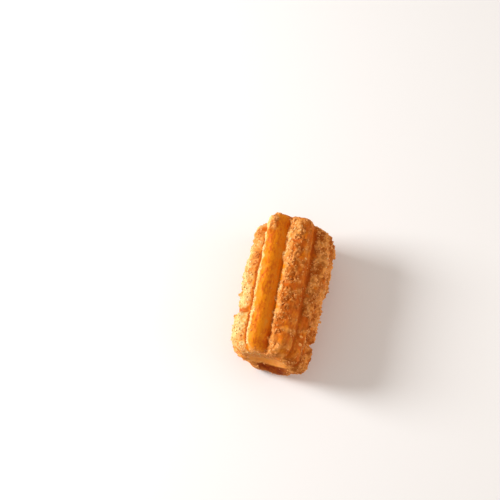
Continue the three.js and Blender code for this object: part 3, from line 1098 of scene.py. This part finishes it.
def shapes_of(make, name, count, **settings):
    """Several shapes of one kind, made by lump or by crystal."""
    return [make(f"{name}_{i}", **settings) for i in range(count)]


# %% Put a grain on each seat
SEAT_VALUES = {"shape": "INT", "turned": "FLOAT_VECTOR", "sized": "FLOAT_VECTOR"}


def active_output(node, name):
    return next(socket for socket in node.outputs if socket.name == name and socket.enabled)


def scatter_tree(shapes):
    tree = bpy.data.node_groups.new("scatter", "GeometryNodeTree")
    tree.interface.new_socket("Geometry", in_out="INPUT", socket_type="NodeSocketGeometry")
    tree.interface.new_socket("Geometry", in_out="OUTPUT", socket_type="NodeSocketGeometry")
    values = {}
    for name, kind in SEAT_VALUES.items():
        node = add_node(tree, "GeometryNodeInputNamedAttribute", {"Name": name}, data_type=kind)
        values[name] = active_output(node, "Attribute")
    rotation = add_node(tree, "FunctionNodeEulerToRotation", {"Euler": values["turned"]})
    picked = add_node(tree, "GeometryNodeCollectionInfo", {
        "Collection": shapes,
        "Separate Children": True,
        "Reset Children": True,
    })
    source = tree.nodes.new("NodeGroupInput")
    placed = add_node(tree, "GeometryNodeInstanceOnPoints", {
        "Points": source.outputs[0],
        "Instance": picked.outputs[0],
        "Pick Instance": True,
        "Instance Index": values["shape"],
        "Rotation": rotation.outputs[0],
        "Scale": values["sized"],
    })
    made_real = add_node(tree, "GeometryNodeRealizeInstances", {0: placed.outputs[0]})
    sink = tree.nodes.new("NodeGroupOutput")
    tree.links.new(made_real.outputs[0], sink.inputs[0])
    return tree


def scatter(name, shapes, places, turns, sizes, tones, finish, random):
    """One mesh with a grain on each place. Sizes are each grain's three sizes in metres."""
    count = len(places)
    seats_mesh = bpy.data.meshes.new(name + "_seats")
    seats_mesh.vertices.add(count)
    seats_mesh.vertices.foreach_set("co", places.ravel())
    keep_value(seats_mesh, "tone", tones)
    kinds = random.integers(0, len(shapes), count)
    for title, values in zip(SEAT_VALUES, (kinds, turns, sizes)):
        keep_value(seats_mesh, title, values, SEAT_VALUES[title])
    seats = add_object(name + "_seats", seats_mesh)
    shelf = bpy.data.collections.new(name + "_shapes")
    for shape in shapes:
        shelf.objects.link(shape)
    modifier = seats.modifiers.new("scatter", "NODES")
    modifier.node_group = scatter_tree(shelf)
    finished = seats.evaluated_get(bpy.context.evaluated_depsgraph_get())
    mesh = bpy.data.meshes.new_from_object(finished)
    mesh.name = name
    mesh.materials.clear()
    mesh.materials.append(finish)
    piece = add_object(name, mesh)
    bpy.data.objects.remove(seats)
    for shape in shapes:
        bpy.data.objects.remove(shape)
    bpy.data.collections.remove(shelf)
    mesh.calc_loop_triangles()
    print(name, count, "grains,", len(mesh.loop_triangles), "triangles")
    return piece


def random_turns(count, random):
    return random.uniform(0, 2 * math.pi, (count, 3))


# %% [markdown]
# ## Crumbs of crust
#
# Bits of fried crust break off and stick on again with the sugar. The largest of them are fused to the
# solid, so they are set in the same places here, by the same little random rule. The others sit only on the
# skin, the large ones apart and the small ones in between, since one size alone would look like gravel.

# %% The solid's own crumbs
FUSED_CRUMBS = 26
FUSED_SEED = 20
FUSED_RADIUS = (0.6, 1.1)
FUSED_FLATNESS = (0.6, 1.0)
FUSED_SUNK = 0.4  # the share of its radius by which a crumb sits in the crust
FUSED_SPREAD = 0.6  # how far from a crest, as a share of the way to the next one
FUSED_COVER = 0.9
FUSED_LOWEST = -REST_DEPTH / 2
SOLID_STEPS = 12  # the solid's steps from ridge to ridge
SOLID_SIDE_RINGS = 34

solid_rings = np.linspace(-side_half, side_half, SOLID_SIDE_RINGS + 2)[1:-1]
draw = seeded_random(FUSED_SEED)
fused_places = []
fused_turns = []
fused_sizes = []
while len(fused_places) < FUSED_CRUMBS:
    off_crest = math.floor((next(draw) - 0.5) * FUSED_SPREAD * SOLID_STEPS + 0.5)
    step = math.floor(next(draw) * RIDGES) * SOLID_STEPS + off_crest
    ring_x = solid_rings[math.floor(next(draw) * SOLID_SIDE_RINGS)]
    turn = np.mod(step / SOLID_STEPS, RIDGES)
    seat = skin(np.array([ring_x]), np.array([1.0]), np.array([turn]))
    radius = mix(*FUSED_RADIUS, next(draw) ** 2)
    turned = Euler([next(draw) * 2 * math.pi for _ in range(3)], "ZYX")
    flat = [mix(*FUSED_FLATNESS, next(draw)) for _ in range(2)]
    if seat["cover"][0] < FUSED_COVER or seat["points"][0, 2] < FUSED_LOWEST:
        continue
    middle = seat["points"][0] - seat["outward"][0] * FUSED_SUNK * radius
    fused_places.append((middle + (0, 0, REST_DEPTH) + skin_shift) * MM)
    fused_turns.append(turned.to_matrix().to_euler("XYZ"))
    fused_sizes.append(np.array((1.0, *flat)) * 2 * radius * MM)
print(len(fused_places), "crumbs of the solid")

# %% Crumb finish
CRUMB_TONES = (0.82, 0.64, 0.30), (0.85, 0.345, 0.08), (0.40, 0.100, 0.010)
SPECKLE_COLOUR = (0.84, 0.50, 0.15, 1)
SPECKLE_SHARE = 0.2

crumb_finish, tree, shader = new_finish("crumb")
crumb_colour = toned(tree, own_value(tree, "tone"), *CRUMB_TONES)
crumb_grain = use_group(tree, grain, {"Size in mm": 0.3})
speckle = times(tree, crumb_grain["Cell"], SPECKLE_SHARE)
speckled = mix_colours(tree, speckle, crumb_colour, SPECKLE_COLOUR)
tree.links.new(speckled, shader.inputs["Base Color"])
add_bumps(tree, shader, crumb_grain["Height"], strength=0.5, millimetres=0.06)
set_sheen(shader, roughness=0.7, specular=0.15)

# %% Large crumbs
CRUMBS = 1100
FUSED_TONES = (0.3, 0.7)

random = np.random.default_rng(seed=101)
crumb_weight = crowding(coated=(0.3, 0.8), on_bare=0, steady=0.7, patchy=0.5, least=0.05) * raised
places, sizes, tones = draw_grains(
    CRUMBS, crumb_weight * (1 + pale_edge), random, millimetres=(0.6, 1.2), small_ones=1.8,
    widths=(0.6, 1.0), lifted=(-0.42, -0.15), tone_share=1.0, spread=0.09,
)
all_places = np.concatenate((fused_places, places))
all_turns = np.concatenate((fused_turns, random_turns(CRUMBS, random)))
all_sizes = np.concatenate((fused_sizes, sizes))
all_tones = np.concatenate((random.uniform(*FUSED_TONES, FUSED_CRUMBS), tones))
crumb_shapes = shapes_of(lump, "crumb", count=6, detail=2, roughness=0.13, random=random)
crumbs = scatter(
    "crust_crumbs", crumb_shapes, all_places, all_turns, all_sizes, all_tones, crumb_finish, random
)

# %% Small crumbs
BITS = 2600

random = np.random.default_rng(seed=151)
bit_weight = crowding(coated=(0.15, 0.75), on_bare=0.02, steady=0.8, patchy=0.4, least=0.1) * raised
places, sizes, tones = draw_grains(
    BITS, bit_weight, random, millimetres=(0.32, 0.62), small_ones=1.0,
    widths=(0.6, 1.0), lifted=(-0.4, -0.08), tone_share=0.9, spread=0.1,
)
bit_shapes = shapes_of(lump, "bit", count=6, detail=1, roughness=0.12, random=random)
bits = scatter(
    "small_crumbs", bit_shapes, places, random_turns(BITS, random), sizes, tones, crumb_finish, random
)

# %% [markdown]
# ## Sugar
#
# Coarse sugar keeps its crystal shape, and the warm oil stains it amber. Each crystal is flat-sided, so
# here and there one catches the light. Fine sugar fills in between, as small plain cubes, since a cut
# corner would not show on so small a grain.

# %% Sugar finish
SUGAR_TONES = (0.84, 0.66, 0.31), (0.90, 0.40, 0.115), (0.58, 0.18, 0.025)

sugar_finish, tree, shader = new_finish("amber_sugar")
sugar_colour = toned(tree, own_value(tree, "tone"), *SUGAR_TONES)
tree.links.new(sugar_colour, shader.inputs["Base Color"])
set_sheen(shader, roughness=0.5, specular=0.14)

# %% Coarse sugar
SUGAR = 2600
MORE_ON_THE_LEFT = 0.5

random = np.random.default_rng(seed=202)
left_ridge = inside(form["angle"], start=-110, stop=-62, edge=10)
sugar_weight = crowding(coated=(0.2, 0.8), on_bare=0, steady=0.8, patchy=0.4, least=0.1) * raised
places, sizes, tones = draw_grains(
    SUGAR, sugar_weight * (1 + MORE_ON_THE_LEFT * left_ridge), random, millimetres=(0.28, 0.56),
    small_ones=1.5, widths=(0.7, 1.1), lifted=(-0.38, 0.05), tone_share=0.8, spread=0.1,
)
sugar_shapes = shapes_of(crystal, "crystal", count=8, cut_corners=2, random=random)
sugar = scatter(
    "sugar_grains", sugar_shapes, places, random_turns(SUGAR, random), sizes, tones, sugar_finish, random
)

# %% Fine sugar
FINE_SUGAR = 3500

random = np.random.default_rng(seed=303)
fine_weight = crowding(coated=(0.1, 0.7), on_bare=0.03, steady=0.9, patchy=0.3, least=0.2)
places, sizes, tones = draw_grains(
    FINE_SUGAR, fine_weight, random, millimetres=(0.15, 0.3), small_ones=1.0,
    widths=(0.7, 1.1), lifted=(-0.25, 0.12), tone_share=0.8, spread=0.12,
)
fine_shapes = shapes_of(crystal, "fine_crystal", count=6, cut_corners=0, random=random)
fine_turns = random_turns(FINE_SUGAR, random)
fine_sugar = scatter(
    "fine_sugar", fine_shapes, places, fine_turns, sizes, tones, sugar_finish, random
)

# %% [markdown]
# ## Cinnamon
#
# Ground cinnamon bark shows as small dark brown flakes between the sugar. Flat discs would look cut out, so
# a dented ball is squeezed to between a third and two thirds of its size.

# %% Cinnamon finish
CINNAMON_TONES = (0.42, 0.12, 0.015), (0.31, 0.08, 0.009), (0.19, 0.045, 0.006)

cinnamon_finish, tree, shader = new_finish("cinnamon")
cinnamon_colour = toned(tree, own_value(tree, "tone"), *CINNAMON_TONES)
tree.links.new(cinnamon_colour, shader.inputs["Base Color"])
set_sheen(shader, roughness=0.8, specular=0.1)

# %% Cinnamon specks
SPECKS = 130
SPECK_WIDTHS = (0.6, 1), (0.5, 1), (0.35, 0.7)
SPECK_LIFTED = (0.0, 0.25)

random = np.random.default_rng(seed=404)
speck_weight = crowding(coated=(0.2, 0.7), on_bare=0.12, steady=1, patchy=0, least=0)
places, outward, _ = pick_seats(SPECKS, speck_weight, random)
size = draw_size(SPECKS, millimetres=(0.2, 0.6), small_ones=1.6, random=random)
sizes = size * np.stack([random.uniform(*width, SPECKS) for width in SPECK_WIDTHS], 1)
places = places + outward * size * random.uniform(*SPECK_LIFTED, (SPECKS, 1))
tones = random.random(SPECKS)
speck_shapes = shapes_of(lump, "speck", count=5, detail=1, roughness=0.2, random=random)
speck_turns = random_turns(SPECKS, random)
specks = scatter(
    "cinnamon_specks", speck_shapes, places, speck_turns, sizes, tones, cinnamon_finish, random
)

# %% [markdown]
# ## Handing over
#
# Every piece rides on the one body, because a churro has no joints. The skin stands for the solid, which is
# hidden. Each piece is listed with a material slot, which the code does not use.

# %% Hand over
for piece, slot in (
    (dough, "fried_crust"),
    (crumbs, "sugar_coat"),
    (bits, "sugar_coat"),
    (sugar, "sugar_coat"),
    (fine_sugar, "sugar_coat"),
    (specks, "cinnamon"),
):
    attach(piece, "root")
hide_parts("churro")
